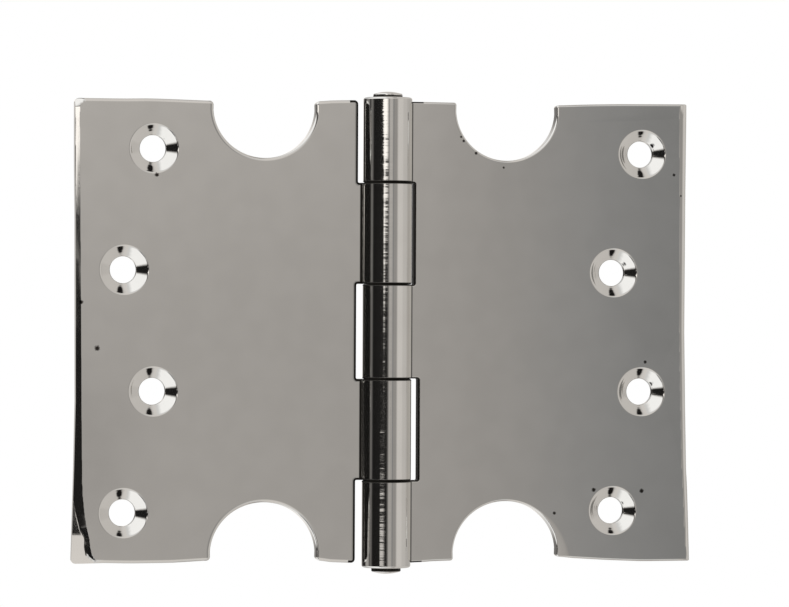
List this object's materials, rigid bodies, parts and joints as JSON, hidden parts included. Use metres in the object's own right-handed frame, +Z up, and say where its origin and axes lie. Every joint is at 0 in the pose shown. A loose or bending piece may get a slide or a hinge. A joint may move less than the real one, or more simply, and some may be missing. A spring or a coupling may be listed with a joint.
{
  "type": "parliament hinge",
  "caption": "Polished parliament hinge with a knuckle barrel, half-round cut-outs in both leaves and staggered countersunk screw holes.",
  "frame": {"origin": "on the pin axis, at mid height of the barrel", "axes": "+Z up along the pin, +X towards the frame leaf with the hinge opened out flat, countersunk faces towards -Y"},
  "size_m": [0.136, 0.0106, 0.104],
  "materials": {
    "polished_plate": "polished",
    "pin_steel": "polished"
  },
  "bodies": {
    "frame_side": {"frame_leaf": "polished_plate", "hinge_pin": "pin_steel"},
    "door_side": {"door_leaf": "polished_plate"}
  },
  "joints": [
    {"name": "pin_joint", "type": "hinge", "parent": "frame_side", "child": "door_side", "pos_m": [0, 0, 0], "axis": [0, 0, 1], "range_deg": [-115, 180]}
  ]
}
